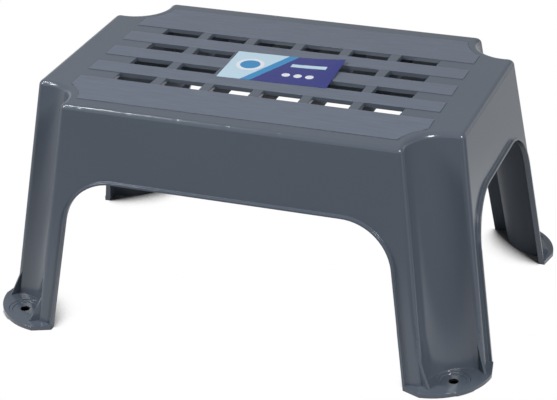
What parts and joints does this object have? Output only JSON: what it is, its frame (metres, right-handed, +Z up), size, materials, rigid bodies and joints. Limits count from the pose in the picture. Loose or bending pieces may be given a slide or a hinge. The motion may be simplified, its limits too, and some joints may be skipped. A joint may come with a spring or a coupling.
{
  "type": "caravan entry step",
  "caption": "Hollow moulded step with splayed fluted legs, arched sides, a slotted tread with raised grip strips and screw holes in its feet, with a paper label on the tread.",
  "frame": {"origin": "on the floor, under the middle of the step", "axes": "+X along the length of the tread to the viewer's right, +Y from the front to the back, +Z up"},
  "size_m": [0.505, 0.358, 0.2303],
  "materials": {
    "body_plastic": "satin moulded polypropylene with a fine matte grain on the raised strips",
    "label_paper": "smooth coated paper with plain fields of colour"
  },
  "bodies": {
    "root": {"step_body": "body_plastic", "paper_label": "label_paper"}
  },
  "joints": []
}
